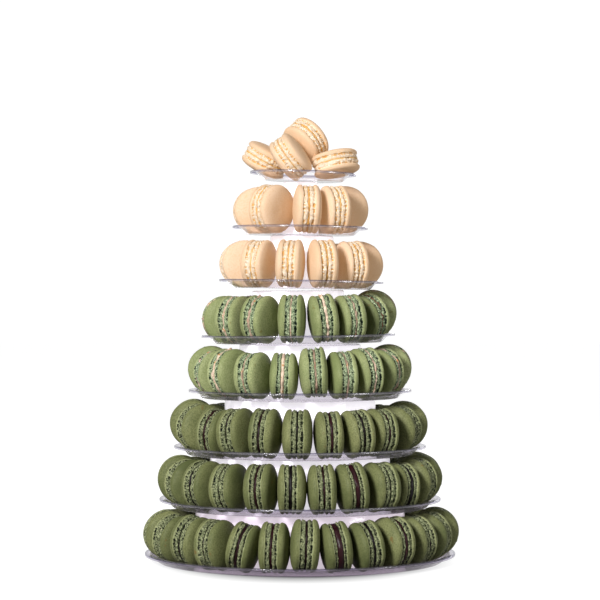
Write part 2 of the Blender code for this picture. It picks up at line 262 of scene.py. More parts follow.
def standing(tier, spot, radius):
    """Where a macaron on edge is in its tier's frame."""
    lean = math.radians(spot.lean)
    reach = flat_radius(radius) * math.cos(lean) + FOOT_HEIGHT * abs(math.sin(lean))
    out = ring_radius(tier, radius) + spot.outward
    around = Matrix.Rotation(math.radians(spot.azimuth), 4, "Z")
    place = around @ Matrix.Translation((0, -out, SOLID_SHEET + GAP + reach + spot.raised))
    turn = Matrix.Rotation(math.radians(spot.turn), 4, "Z")
    return place @ turn @ Matrix.Rotation(lean, 4, "Y")


def with_back(front, draw, lean_spread):
    """The front spots and, at their mean spacing, the uneven ones round the back."""
    first, last = front[0].azimuth, front[-1].azimuth
    spacing = (last - first) / (len(front) - 1)
    behind = first + 360 - last
    count = round(behind / spacing) - 1
    spots = list(front)
    for index in range(1, count + 1):
        lean = draw.uniform(-lean_spread, lean_spread)
        size = draw.uniform(-SIZE_SPREAD, SIZE_SPREAD)
        spots.append(Spot(last + behind * index / (count + 1), lean=lean, size=size))
    return spots


def skew(spot, neighbour):
    """How far a dome is turned from facing the plane halfway to its neighbour. Its side
    toward the tower's axis is the nearer one where this is positive."""
    apart = (neighbour.azimuth - spot.azimuth + 180) % 360 - 180
    return math.radians(abs(apart) / 2 - math.copysign(1, apart) * spot.turn)


def dome_reach(tier, radius, spot, neighbour):
    """How high a dome is that just meets its neighbour's, halfway between them. Two that
    come near the halfway plane with opposite sides are higher, so that they meet too."""
    crown = CROWN_SHARE * flat_radius(radius)
    apart = abs(neighbour.azimuth - spot.azimuth) % 360
    half = math.radians(min(apart, 360 - apart) / 2)
    out = ring_radius(tier, radius) + spot.outward
    own, other = skew(spot, neighbour), skew(neighbour, spot)
    reach = (out * math.sin(half) - crown * abs(math.sin(own))) / math.cos(own)
    if own * other < 0:
        reach += crown * math.sin(min(abs(own), abs(other)))
    return reach


def loose_dome(tier, radius, spot, neighbour):
    """The usual height, or less where it would meet a neighbour that is radial too."""
    if max(abs(spot.turn), abs(neighbour.turn)) > NEARLY_RADIAL:
        return DOME_HEIGHT
    return min(DOME_HEIGHT, dome_reach(tier, radius, spot, neighbour) - CLEARANCE)


# --- mesh building ----------------------------------------------------------------------

class Surface:
    """Points, faces and one number a point for each named attribute."""

    def __init__(self, names):
        self.points = []
        self.faces = []
        self.values = {name: [] for name in names}
        self.count = 0

    def add_row(self, points, **values):
        """Adds one ring of points and returns their numbers."""
        size = len(points)
        self.points.append(np.asarray(points, float))
        for name, kept in self.values.items():
            kept.append(np.broadcast_to(np.asarray(values.get(name, 0.0), float), size))
        first = self.count
        self.count += size
        return np.arange(first, first + size)

    def bridge(self, low, high):
        """Joins two rings. The second has as many points or half as many."""
        after = np.roll(high, -1)
        if len(low) == len(high):
            self.faces += np.stack([low, np.roll(low, -1), after, high], 1).tolist()
            return
        even, odd = low[0::2], low[1::2]
        self.faces += np.stack([even, odd, high], 1).tolist()
        self.faces += np.stack([odd, np.roll(even, -1), after, high], 1).tolist()

    def fan_out(self, low, high):
        """Joins a ring to one with twice as many points."""
        after = np.roll(low, -1)
        even, odd = high[0::2], high[1::2]
        self.faces += np.stack([low, odd, even], 1).tolist()
        self.faces += np.stack([low, after, np.roll(even, -1), odd], 1).tolist()

    def close(self, ring, centre, **values):
        """Closes a ring with a fan. The ring runs anticlockwise as seen from outside."""
        (middle,) = self.add_row([centre], **values)
        middles = np.full(len(ring), middle)
        self.faces += np.stack([ring, np.roll(ring, -1), middles], 1).tolist()

    def place(self, first, matrix):
        """Moves every point from the given list entry on."""
        turn = np.array(matrix.to_3x3())
        shift = np.array(matrix.translation)
        for index in range(first, len(self.points)):
            self.points[index] = self.points[index] @ turn.T + shift

    def piece(self, name, look):
        mesh = bpy.data.meshes.new(name)
        mesh.from_pydata(np.concatenate(self.points).tolist(), [], self.faces)
        for label, kept in self.values.items():
            attribute = mesh.attributes.new(label, "FLOAT", "POINT")
            attribute.data.foreach_set("value", np.concatenate(kept).astype(np.float32))
        mesh.materials.append(look)
        mesh.shade_smooth()
        thing = new_object(name, mesh)
        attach(thing, "root")
        return thing


def new_object(name, data):
    made = bpy.data.objects.new(name, data)
    bpy.context.scene.collection.objects.link(made)
    return made


def smoothed(numbers, times):
    for _ in range(times):
        numbers = (np.roll(numbers, 1) + 2 * numbers + np.roll(numbers, -1)) / 4
    return numbers


def waves(chance, angles, amounts):
    """A smooth uneven outline: one random wave for each (number of waves, height)."""
    total = np.zeros(len(angles))
    for count, height in amounts:
        total += height * np.cos(count * angles + chance.uniform(0, math.tau))
    return total


def ring_points(height, radius, angles):
    radius = np.broadcast_to(radius, len(angles))
    height = np.broadcast_to(height, len(angles))
    return np.stack([height, radius * np.cos(angles), radius * np.sin(angles)], 1)


# --- macarons ---------------------------------------------------------------------------

# Sizes along a macaron's axis are from the middle of its filling. The radius is a little
# smaller than the solids', whose corners reach past a round outline of the same area, and
# no dome is higher than this many times the usual one.
ROUND_SHARE = 0.99
GROOVE_AT = 0.0052
DOME_STARTS = 0.0026
THICKEST_DOME = 1.07

# The dome is a superellipse of this power. Its rings are at these shares of the radius,
# the outer ones with half the edge's points and the inner ones with a quarter.
DOME_POWER = 2.15
DOME_OUTER_SHARES = [1.0, 0.97, 0.91, 0.81]
DOME_INNER_SHARES = [0.68, 0.50, 0.30, 0.10]

# How many points go round the edge. Most are in the part that shows: from over the top
# to under the wall.
FINE_STEPS = 136
RING_STEPS = 104
HIDDEN_STEPS = 16
SHOWN_FROM = math.radians(45)
SHOWN_TO = math.radians(285)

# The foot's rows: the share of the way from the filling to the groove, how far the row
# is inside the dome's outline, and how much of the ruffle's relief it has.
FootRow = namedtuple("FootRow", "share inset relief")
FOOT_ROWS = [
    FootRow(0.04, 0.0027, 0.4),
    FootRow(0.00, 0.0016, 1.0),
    FootRow(0.22, 0.0009, 1.0),
    FootRow(0.45, 0.0008, 1.0),
    FootRow(0.68, 0.0010, 1.0),
    FootRow(0.86, 0.0014, 0.8),
    FootRow(1.00, 0.0021, 0.4),
]
# The dome's edge: how far the row is past the groove, how far inside the outline, and how
# much it has of the thin line round the dome and of the foot's colour.
EdgeRow = namedtuple("EdgeRow", "past inset line foot")
EDGE_ROWS = [
    EdgeRow(0.0004, 0.0011, 0.7, 0.5),
    EdgeRow(0.0009, 0.0003, 1.0, 0.0),
    EdgeRow(0.0018, 0.0001, 0.0, 0.0),
]

# Waves round a shell, as how many and how high: in its outline as shares of the radius,
# and in its groove and its dome in metres.
OUTLINE_WAVES = [(2, 0.009), (3, 0.006), (5, 0.003)]
GROOVE_WAVES = [(2, 0.00025), (5, 0.0002)]
DOME_WAVES = [(2, 0.00012), (3, 0.0001)]
DOME_TILT = 0.0003

# How far points are scattered: the groove, the foot's rows, its ruffle and the dome's edge.
GROOVE_SCATTER = 0.00012
ROW_SCATTER = 0.00016
RUFFLE = 0.00045
EDGE_SCATTER = 0.00010

# Pits are deepest at this share of the foot and reach this much of it either side. They
# are deeper along some stretches, which the smoothing makes long.
PIT_DEPTH = 0.0016
PITTED_AT = 0.90
PITTED_NEAR = 0.34
PIT_SPREAD = 1.2
STRETCH_SPREAD = 0.25
STRETCH_SMOOTHING = 14

# The shell's flat inner side, closed a little outside the filling's half.
INNER_GAP = 0.0003
INNER_INSET = 0.0055

# The filling reaches into both shells, with a sloping rim. Its edge wanders, and its
# thickness differs by up to the spread. One whose half is this thick comes out the most.
FILLING_OVERLAP = 0.0004
FILLING_RIM = 0.0022
FILLING_ROWS = [-0.55, 0.0, 0.55]
FILLING_WANDER = 0.0004
FILLING_SMOOTHING = 6
FILLING_SPREAD = 0.08
THICK_FILLING = 0.0025

SHELL_VALUES = ("foot", "pit", "line", "tone", "around", "across")
FILLING_VALUES = ("tone",)
ShellShape = namedtuple("ShellShape", "angles outline groove pits half_filling")


def edge_angles(steps):
    shown = np.linspace(SHOWN_FROM, SHOWN_TO, steps - HIDDEN_STEPS, endpoint=False)
    hidden = np.linspace(SHOWN_TO, SHOWN_FROM + math.tau, HIDDEN_STEPS, endpoint=False)
    return np.concatenate([shown, hidden])


def scatter(chance, steps, times=1):
    """Random numbers round the edge, smoothed this many times, with a spread of 1."""
    numbers = smoothed(chance.normal(size=steps), times)
    return numbers / numbers.std()


def add_inner_side(surface, radius, half_filling, angles, tone):
    """The side toward the filling, with half the edge's points. Returns its ring."""
    height = half_filling + INNER_GAP
    points = ring_points(height, radius - INNER_INSET, angles[::2])
    ring = surface.add_row(points, foot=1.0, tone=tone)
    surface.close(ring[::-1], (height, 0, 0), foot=1.0, tone=tone)
    return ring


def add_foot(surface, chance, shape, inner, shared):
    """The ruffled foot, from the filling to the groove. Returns its last ring."""
    steps = len(shape.angles)
    low = None
    for row in FOOT_ROWS:
        height = shape.half_filling + (shape.groove - shape.half_filling) * row.share
        height = height + scatter(chance, steps) * ROW_SCATTER * row.relief
        bumps = scatter(chance, steps) * RUFFLE * row.relief
        near = max(0.0, 1 - abs(row.share - PITTED_AT) / PITTED_NEAR)
        radius = shape.outline - row.inset + bumps - PIT_DEPTH * shape.pits * near
        ring = surface.add_row(
            ring_points(height, radius, shape.angles),
            foot=1.0,
            pit=shape.pits * near,
            across=row.share * GROOVE_AT,
            **shared,
        )
        if low is None:
            surface.fan_out(inner, ring)
        else:
            surface.bridge(low, ring)
        low = ring
    return low


def add_dome_edge(surface, chance, shape, low, shared):
    """The dome's worn edge above the groove. Returns its last ring."""
    for row in EDGE_ROWS:
        worn = scatter(chance, len(shape.angles)) * EDGE_SCATTER
        ring = surface.add_row(
            ring_points(shape.groove + row.past, shape.outline - row.inset + worn, shape.angles),
            foot=row.foot,
            pit=shape.pits * row.foot,
            line=row.line,
            across=GROOVE_AT + row.past,
            **shared,
        )
        surface.bridge(low, ring)
        low = ring
    return low


def add_dome(surface, chance, shape, low, dome, tone):
    """The dome, slightly uneven and tilted. It has the given height at the solids' crown."""
    start = GROOVE_AT + DOME_STARTS
    crown = (1 - CROWN_SHARE**DOME_POWER) ** (1 / DOME_POWER)
    rise = (dome - start) / crown
    tilt = chance.uniform(0, math.tau)
    for share in DOME_OUTER_SHARES + DOME_INNER_SHARES:
        fewer = 2 if share in DOME_OUTER_SHARES else 4
        angles = shape.angles[::fewer]
        height = start + rise * max(0.0, 1 - share**DOME_POWER) ** (1 / DOME_POWER)
        uneven = waves(chance, angles, DOME_WAVES)
        lean = DOME_TILT * share * np.cos(angles + tilt)
        raised = height + (uneven + lean) * (1 - share)
        ring = surface.add_row(
            ring_points(raised, shape.outline[::fewer] * share, angles), tone=tone
        )
        surface.bridge(low, ring)
        low = ring
    surface.close(low, (start + rise, 0, 0), tone=tone)


def add_shell(surface, chance, radius, half_filling, dome, angles, tone):
    """One shell with its axis along +X, from the filling at half_filling to the dome."""
    steps = len(angles)
    around = angles * radius + chance.uniform(0, 1)
    outline = radius * (1 + waves(chance, angles, OUTLINE_WAVES))
    groove = GROOVE_AT + waves(chance, angles, GROOVE_WAVES)
    groove = groove + scatter(chance, steps, 2) * GROOVE_SCATTER
    inner = add_inner_side(surface, radius, half_filling, angles, tone)
    stretches = 0.5 + STRETCH_SPREAD * scatter(chance, steps, STRETCH_SMOOTHING)
    pits = scatter(chance, steps, 0) * PIT_SPREAD + np.clip(stretches, 0, 1)
    shape = ShellShape(angles, outline, groove, np.clip(pits, 0, 1), half_filling)
    shared = {"tone": tone, "around": around}
    low = add_foot(surface, chance, shape, inner, shared)
    low = add_dome_edge(surface, chance, shape, low, shared)
    add_dome(surface, chance, shape, low, dome, tone)


def add_filling(surface, chance, radius, kind, half, angles, tone):
    """The filling as a closed disc that reaches a little into both shells."""
    steps = len(angles)
    thick = min(1.0, half / THICK_FILLING)
    inset = kind.thin_inset + (kind.thick_inset - kind.thin_inset) * thick
    edge = radius - inset + scatter(chance, steps, FILLING_SMOOTHING) * FILLING_WANDER
    deep = half + FILLING_OVERLAP
    low = surface.add_row(ring_points(-deep, edge - FILLING_RIM, angles), tone=tone)
    surface.close(low[::-1], (-deep, 0, 0), tone=tone)
    for share in FILLING_ROWS:
        bumps = scatter(chance, steps) * kind.relief
        ring = surface.add_row(ring_points(share * deep, edge + bumps, angles), tone=tone)
        surface.bridge(low, ring)
        low = ring
    ring = surface.add_row(ring_points(deep, edge - FILLING_RIM, angles), tone=tone)
    surface.bridge(low, ring)
    surface.close(ring, (deep, 0, 0), tone=tone)


def add_macaron(surfaces, chance, radius, domes, tier, index, steps, matrix):
    """A whole macaron with its axis along X, then moved to its place. The fillings at
    the back repeat those at the front."""
    shells, fillings = surfaces
    kind = KINDS[tier]
    radius *= ROUND_SHARE
    thickness, light = FILLINGS[tier][index % len(FILLINGS[tier])]
    half = thickness / MILLIMETRES / 2 * chance.uniform(1 - FILLING_SPREAD, 1 + FILLING_SPREAD)
    thickest = DOME_HEIGHT * radius / MACARON_RADIUS * THICKEST_DOME
    left, right = [min(dome, thickest) for dome in domes]
    angles = edge_angles(steps)
    mirrored = np.sort((math.pi - angles) % math.tau)
    first = len(shells.points)
    add_shell(shells, chance, radius, half, left, mirrored, chance.uniform())
    shells.place(first, Matrix.Rotation(math.pi, 4, "Z"))
    add_shell(shells, chance, radius, half, right, angles, chance.uniform())
    shells.place(first, matrix)
    first = len(fillings.points)
    add_filling(fillings, chance, radius, kind, half, angles[::2], light)
    fillings.place(first, matrix)


def tier_chance(tier):
    """The random numbers of the surfaces of a tier's macarons."""
    return np.random.default_rng(SEED * SEED_STEP + tier)


def new_surfaces():
    return Surface(SHELL_VALUES), Surface(FILLING_VALUES)


def finished_macarons(name, node, surfaces, kind, looks):
    shells, fillings = surfaces
    thing = shells.piece(f"{name}_shells", looks[kind.shell])
    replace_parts(thing, node)
    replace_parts(fillings.piece(f"{name}_filling", looks[kind.filling]), node)


def placed_macaron(surfaces, chance, tier, spots, index, reach, steps):
    """One that stands at its spot, between the spots before and after it. Reach gives
    how high its domes are on either side."""
    spot = spots[index]
    radius = MACARON_RADIUS * (1 + spot.size)
    left = reach(tier, radius, spot, spots[index - 1])
    right = reach(tier, radius, spot, spots[(index + 1) % len(spots)])
    matrix = tier_matrix(tier) @ standing(tier, spot, radius)
    add_macaron(surfaces, chance, radius, (left, right), tier, index, steps, matrix)


def loose_macarons(tier, looks):
    chance = tier_chance(tier)
    spots = with_back(LOOSE_TIERS[tier], random.Random(SEED + tier), 0)
    for index in range(len(spots)):
        surfaces = new_surfaces()
        placed_macaron(surfaces, chance, tier, spots, index, loose_dome, FINE_STEPS)
        node = f"tier{tier}_macaron_{index + 1:02d}"
        finished_macarons(f"tier{tier}_{index + 1:02d}", node, surfaces, KINDS[tier], looks)


def crowded_macarons(tier, looks):
    chance = tier_chance(tier)
    spots = with_back(CROWDED_TIERS[tier], random.Random(SEED + tier), LEAN_SPREAD)
    surfaces = new_surfaces()
    for index in range(len(spots)):
        placed_macaron(surfaces, chance, tier, spots, index, dome_reach, RING_STEPS)
    finished_macarons(f"tier{tier}_ring", f"macaron_ring_{tier}", surfaces, KINDS[tier], looks)


def piled_macarons(looks):
    chance = tier_chance(1)
    for index, piled in enumerate(PILE):
        rise = math.radians(piled.rise)
        toward = math.radians(piled.toward)
        level = math.cos(toward)
        axis = Vector((level * math.cos(rise), -math.sin(toward), level * math.sin(rise)))
        place = Matrix.Translation((piled.x, piled.y, piled.z))
        matrix = place @ axis.to_track_quat("X", "Z").to_matrix().to_4x4()
        surfaces = new_surfaces()
        domes = (piled.dome, piled.dome)
        add_macaron(surfaces, chance, MACARON_RADIUS, domes, 1, index, FINE_STEPS, matrix)
        node = f"top_macaron_{index + 1}"
        finished_macarons(f"top_{index + 1}", node, surfaces, VANILLA, looks)


# --- trays ------------------------------------------------------------------------------

# The sheet, and the radius of each of its bends. Its lip has a turned-down rim, which is
# in the scene only.
SHEET = 0.0006
RIM_DROP = 0.0019
RIM_BEND = 0.0004
LIP_BEND = 0.0012
FLOOR_BEND = 0.0016
DRUM_FOOT_BEND = 0.0012
DRUM_TOP_BEND = 0.0016
BEND_STEPS = 3
TRAY_STEPS = 88

# The rim's painted dark lines, standing in for the dark edges that the bent sheet shows by
# refraction: a line at its lower edge, and this far in and down from its bend.
RIM_LINE = 0.0006
DARK_LINE_IN = 0.0016
DARK_LINE_DOWN = 0.0005

# How much painted shade darkens each tray's sheet: more on the lower tiers, which get less
# light. The milky wall of its drum is at most this far outside the drum's radius, and ends
# this far from its foot and its top.
TRAY_SHADE = {1: 0.05, 2: 0.05, 3: 0.10, 4: 0.12, 5: 0.18, 6: 0.30, 7: 0.55, 8: 0.85}
MILK_OUT = 0.003
MILK_MARGIN = 0.001

# The drum's upright ribs: how many, how deep and wide, and how far each drum's are turned.
# They are at most this far outside the drum's radius, start this far above its foot and
# below its top, and are at their deepest after this much more.
RIBS = 8
RIB_DEPTH = 0.0006
RIB_HALF_WIDTH = 0.0014
RIB_TURNS = {2: 10, 3: 20, 4: 5, 5: -29, 6: -1.4, 7: 12, 8: 21}
RIB_ACROSS = (-1, -0.5, 0, 0.5, 1)
RIB_OUT = 0.002
RIB_ABOVE_FOOT = 0.003
RIB_BELOW_TOP = 0.002
RIB_FADE = 0.004


def rounded(corners):
    """A path through (radius, height, bend radius) corners, with an arc at each."""
    path = [Vector(corners[0][:2])]
    for before, corner, after in zip(corners, corners[1:], corners[2:]):
        here = Vector(corner[:2])
        back = (Vector(before[:2]) - here).normalized()
        on = (Vector(after[:2]) - here).normalized()
        half = back.angle(on) / 2
        run = corner[2] / math.tan(half)
        middle = here + (back + on).normalized() * corner[2] / math.sin(half)
        start = (here + back * run - middle).normalized()
        end = (here + on * run - middle).normalized()
        for step in range(BEND_STEPS + 1):
            path.append(middle + start.slerp(end, step / BEND_STEPS) * corner[2])
    path.append(Vector(corners[-1][:2]))
    return path


def tray_path(tier):
    """The middle of a tray's sheet, from the rim's lower edge to the tower's axis."""
    half = SHEET / 2
    outer = lip_radius(tier)
    floor_edge = outer - WALL_INSET
    wall_top = floor_edge + LIP_HEIGHT - SOLID_SHEET
    corners = [
        (outer - half, LIP_HEIGHT - half - RIM_DROP, 0),
        (outer - half, LIP_HEIGHT - half, RIM_BEND),
        (wall_top, LIP_HEIGHT - half, LIP_BEND),
        (floor_edge, half, FLOOR_BEND),
    ]
    if tier > 1:
        base = drum_radius(tier) + DRUM_TAPER
        top = drum_radius(tier) - DRUM_TAPER
        height = STANCES[tier].drum
        corners += [(base, half, DRUM_FOOT_BEND), (top - half, height - half, DRUM_TOP_BEND)]
    corners.append((0, corners[-1][1], 0))
    path = rounded(corners)
    edge, bend = path[0], path[1]
    path[1:1] = [Vector((edge.x, edge.y + RIM_LINE)), Vector((bend.x, bend.y - RIM_LINE))]
    return path


def sheet_sides(path):
    """The two faces of the sheet: points half its thickness either side of the path."""
    upper, lower = [], []
    for index, point in enumerate(path):
        before = path[max(index - 1, 0)]
        after = path[min(index + 1, len(path) - 1)]
        along = (after - before).normalized()
        normal = Vector((along.y, -along.x)) * SHEET / 2
        upper.append(point + normal)
        lower.append(point - normal)
    return upper, lower


def rib_angles(tier):
    if tier == 1:
        return []
    start = math.radians(RIB_TURNS[tier] - 90)
    return [start + index * math.tau / RIBS for index in range(RIBS)]


def tray_angles(tier):
    """Even steps round the tray, and closer ones across each rib of the drum."""
    angles = list(np.arange(TRAY_STEPS) * math.tau / TRAY_STEPS)
    for rib in rib_angles(tier):
        for share in RIB_ACROSS:
            angles.append((rib + share * RIB_HALF_WIDTH / drum_radius(tier)) % math.tau)
    return np.array(sorted(angles))


def rib_inset(tier, angles, point):
    """How far the drum's ribs go in, fading out at the drum's foot and top."""
    depth = np.zeros(len(angles))
    if tier == 1 or point.x >= drum_radius(tier) + RIB_OUT:
        return depth
    inside = min(point.y - RIB_ABOVE_FOOT, STANCES[tier].drum - point.y - RIB_BELOW_TOP)
    for rib in rib_angles(tier):
        off = (angles - rib + math.pi) % math.tau - math.pi
        across = np.abs(off) * drum_radius(tier) / RIB_HALF_WIDTH
        depth += np.where(across < 1, (1 + np.cos(np.minimum(across, 1) * math.pi)) / 2, 0)
    return depth * RIB_DEPTH * np.clip(inside / RIB_FADE, 0, 1)


def milk_share(tier, point):
    """How milky the sheet is at a point of the path: only the drum's wall is."""
    if tier == 1 or point.x > drum_radius(tier) + MILK_OUT:
        return 0.0
    return float(MILK_MARGIN < point.y < STANCES[tier].drum - MILK_MARGIN)


def rim_share(tier, point):
    """How much of the rim's painted dark line the sheet has: along the lip's bend and along the
    rim's lower edge.
    """
    if point.x < lip_radius(tier) - DARK_LINE_IN:
        return 0.0
    top = LIP_HEIGHT - SHEET / 2
    return float(point.y > top - DARK_LINE_DOWN or point.y < top - RIM_DROP + RIM_LINE / 2)


def add_tray(tier, looks):
    upper, lower = sheet_sides(tray_path(tier))
    angles = tray_angles(tier)
    surface = Surface(("rim", "milk", "smoke"))
    rings = []
    for point in lower[-2::-1] + upper[:-1]:
        radius = point.x - rib_inset(tier, angles, point)
        height = np.full(len(angles), point.y)
        ring = surface.add_row(
            np.stack([radius * np.cos(angles), radius * np.sin(angles), height], 1),
            rim=rim_share(tier, point),
            milk=milk_share(tier, point),
            smoke=TRAY_SHADE[tier],
        )
        rings.append(ring)
    for low, high in zip(rings, rings[1:]):
        surface.bridge(low, high)
    surface.close(rings[-1], (0, 0, upper[-1].y))
    surface.close(rings[0][::-1], (0, 0, lower[-1].y))
    surface.place(0, tier_matrix(tier))
    thing = surface.piece(f"clear_tray_{tier}", looks["clear_plastic"])
    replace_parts(thing, f"tray_{tier}")


# --- materials --------------------------------------------------------------------------

WHITE = (1.0, 1.0, 1.0)

# How many features a noise has in a metre, how many finer layers, and how strong these are.
Noise = namedtuple("Noise", "scale detail roughness", defaults=(0.5,))

# The Mix node's inputs and output where it mixes colours.
MIX_SHARE = 0
MIX_FIRST = 6
MIX_SECOND = 7
MIX_RESULT = 2

# How bright the studio is in a reflection.
REFLECTED_LIGHT = 0.75


class Tree:
    """Short ways to make and join shader nodes."""

    def __init__(self, owner):
        self.owner = owner
        owner.use_nodes = True
        self.nodes = owner.node_tree.nodes
        self.links = owner.node_tree.links
        self.nodes.clear()

    def add(self, kind, settings=None, **inputs):
        """A new node. Its inputs' names are written with _ for a space."""
        node = self.nodes.new(kind)
        for name, value in (settings or {}).items():
            setattr(node, name, value)
        for name, value in inputs.items():
            self.set(node, name.replace("_", " "), value)
        return node

    def set(self, node, name, value):
        """Joins an input to a socket, or gives it a number or a colour."""
        socket = node.inputs[name]
        if isinstance(value, bpy.types.NodeSocket):
            self.links.new(value, socket)
        elif socket.type == "RGBA":
            socket.default_value = (*value, 1.0)
        else:
            socket.default_value = value

    def value(self, name):
        return self.add("ShaderNodeAttribute", {"attribute_name": name}).outputs["Fac"]

    def pattern(self, place, noise):
        made = self.add(
            "ShaderNodeTexNoise",
            Vector=place,
            Scale=noise.scale,
            Detail=noise.detail,
            Roughness=noise.roughness,
        )
        return made.outputs["Fac"]

    def in_space(self, noise):
        return self.pattern(self.add("ShaderNodeTexCoord").outputs["Object"], noise)

    def along_edge(self, noise, finer):
        """Noise round a macaron's edge, whose features are this much finer across it."""
        place = self.add("ShaderNodeCombineXYZ")
        self.set(place, "X", self.value("around"))
        self.set(place, "Y", self.times(self.value("across"), finer))
        self.set(place, "Z", self.value("tone"))
        return self.pattern(place.outputs[0], noise)

    def ramp(self, value, low, high):
        """0 below low, 1 above high, smooth between."""
        smooth = {"interpolation_type": "SMOOTHSTEP"}
        made = self.add("ShaderNodeMapRange", smooth, Value=value, From_Min=low, From_Max=high)
        return made.outputs["Result"]

    def math(self, operation, *values, clamp=True):
        made = self.add("ShaderNodeMath", {"operation": operation, "use_clamp": clamp})
        for index, value in enumerate(values):
            self.set(made, index, value)
        return made.outputs[0]

    def times(self, first, second):
        return self.math("MULTIPLY", first, second)

    def mix(self, share, first, second):
        """Between two colours."""
        made = self.add("ShaderNodeMix", {"data_type": "RGBA"})
        self.set(made, MIX_SHARE, share)
        self.set(made, MIX_FIRST, first)
        self.set(made, MIX_SECOND, second)
        return made.outputs[MIX_RESULT]

    def blend(self, share, first, second):
        """Between two shaders."""
        made = self.add("ShaderNodeMixShader")
        self.set(made, 0, share)
        self.set(made, 1, first.outputs[0])
        self.set(made, 2, second.outputs[0])
        return made

    def bump(self, height, distance, strength, normal=None):
        made = self.add("ShaderNodeBump", Height=height, Distance=distance, Strength=strength)
        if normal is not None:
            self.set(made, "Normal", normal)
        return made.outputs["Normal"]

    def finish(self, shader):
        output = self.add("ShaderNodeOutputMaterial")
        self.set(output, "Surface", shader.outputs[0])
        return self.owner


def seen_light(tree, straight):
    """How bright something is where the camera sees it, straight or in a reflection. It
    lights nothing else, so that the shade between the macarons stays deep."""
    path = tree.add("ShaderNodeLightPath")
    reflected = tree.times(path.outputs["Is Glossy Ray"], REFLECTED_LIGHT)
    camera = path.outputs["Is Camera Ray"]
    return tree.math("MULTIPLY_ADD", camera, straight, reflected, clamp=False)


# A shell's colours: its dome from light to dark, its foot, the painted shade in the foot's
# hollows, the pits' painted shade, the thin line round the dome and the specks. Then its
# foot: how many ruffles there are in a metre, how many times finer they are across the
# edge, from what noise on there is a small pit, and how high the ruffles are. The glow
# stands in for light that passes through a pale shell.
# The green shells have the usual foot and no glow.
ShellLook = namedtuple(
    "ShellLook",
    "light dark foot foot_dark pit line speck ruffles finer pitted relief glow",
    defaults=(640, 2.2, 0.59, 0.0009, 0.0),
)
SHELL_LOOKS = {
    "cream_shell": ShellLook(
        light=(0.61, 0.462, 0.342),
        dark=(0.53, 0.358, 0.222),
        foot=(0.68, 0.63, 0.56),
        foot_dark=(0.6, 0.45, 0.29),
        pit=(0.6, 0.32, 0.09),
        line=(0.7, 0.56, 0.4),
        speck=(0.58, 0.4, 0.24),
        ruffles=600,
        finer=3.5,
        pitted=0.65,
        relief=0.0005,
        glow=0.15,
    ),
    "sage_shell": ShellLook(
        light=(0.315, 0.34, 0.165),
        dark=(0.15, 0.18, 0.066),
        foot=(0.47, 0.535, 0.325),
        foot_dark=(0.095, 0.145, 0.074),
        pit=(0.004, 0.011, 0.006),
        line=(0.34, 0.38, 0.19),
        speck=(0.18, 0.17, 0.06),
    ),
    "olive_shell": ShellLook(
        light=(0.212, 0.22, 0.094),
        dark=(0.069, 0.082, 0.028),
        foot=(0.345, 0.368, 0.2),
        foot_dark=(0.06, 0.076, 0.031),
        pit=(0.003, 0.005, 0.002),
        line=(0.3, 0.32, 0.16),
        speck=(0.14, 0.105, 0.035),
    ),
}
GLOW_COLOUR = (0.93, 0.55, 0.25)
SATIN = 0.15

# The noises of a dome, and between which values each sets in.
CLOUDS = Noise(45, 3)
CLOUD_RANGE = (0.35, 0.75)
GRAIN = Noise(850, 3, 0.65)
GRAIN_RANGE = (0.42, 0.62)
ROUGHNESS_RANGE = (-0.6, 1.3)
SPECKS = Noise(120, 2)
SPECK_RANGE = (0.70, 0.76)
SKIN = Noise(1100, 3)

# How much of the dark colour comes from the shell's own tone and, the rest, from clouds,
# and how strong the grain and the line round the dome are.
TONE_SHARE = 0.6
GRAIN_SHARE = 0.7
LINE_SHARE = 0.7

# The noises of a foot. Ragged pits lie beside the dome and small ones anywhere.
RUFFLE_DETAIL = 3
RUFFLE_ROUGHNESS = 0.6
RUFFLE_RANGE = (0.42, 0.58)
FOOT_RANGE = (0.3, 0.8)
RAGGED_PITS = Noise(700, 2)
RAGGED_FINER = 1.5
RAGGED_RANGE = (0.66, 0.72)
RAGGED_SHARE = 0.45
SMALL_PITS = Noise(750, 1)
SMALL_SOFTNESS = 0.05

# How high relief is in metres, and how strongly it shows.
SKIN_RELIEF = (0.00012, 0.6)
RUFFLE_STRENGTH = 0.9
PIT_RELIEF = (0.0008, 0.8)


def dome_colour(tree, look, grain):
    clouds = tree.ramp(tree.in_space(CLOUDS), *CLOUD_RANGE)
    tone = tree.times(tree.value("tone"), TONE_SHARE)
    shade = tree.math("ADD", tone, tree.times(clouds, 1 - TONE_SHARE))
    colour = tree.mix(shade, look.light, look.dark)
    colour = tree.mix(tree.times(tree.ramp(grain, *GRAIN_RANGE), GRAIN_SHARE), colour, look.dark)
    colour = tree.mix(tree.ramp(tree.in_space(SPECKS), *SPECK_RANGE), colour, look.speck)
    return tree.mix(tree.times(tree.value("line"), LINE_SHARE), colour, look.line)


def pit_share(tree, look):
    """Where a foot has pits, which are coloured with painted shade: ragged ones by the shape's
    own pits, and small ones.
    """
    deep = tree.times(tree.value("pit"), RAGGED_SHARE)
    ragged = tree.math("ADD", deep, tree.along_edge(RAGGED_PITS, RAGGED_FINER))
    small = tree.along_edge(SMALL_PITS, look.finer)
    small = tree.ramp(small, look.pitted, look.pitted + SMALL_SOFTNESS)
    small = tree.times(small, tree.value("foot"))
    return tree.math("MAXIMUM", tree.ramp(ragged, *RAGGED_RANGE), small)


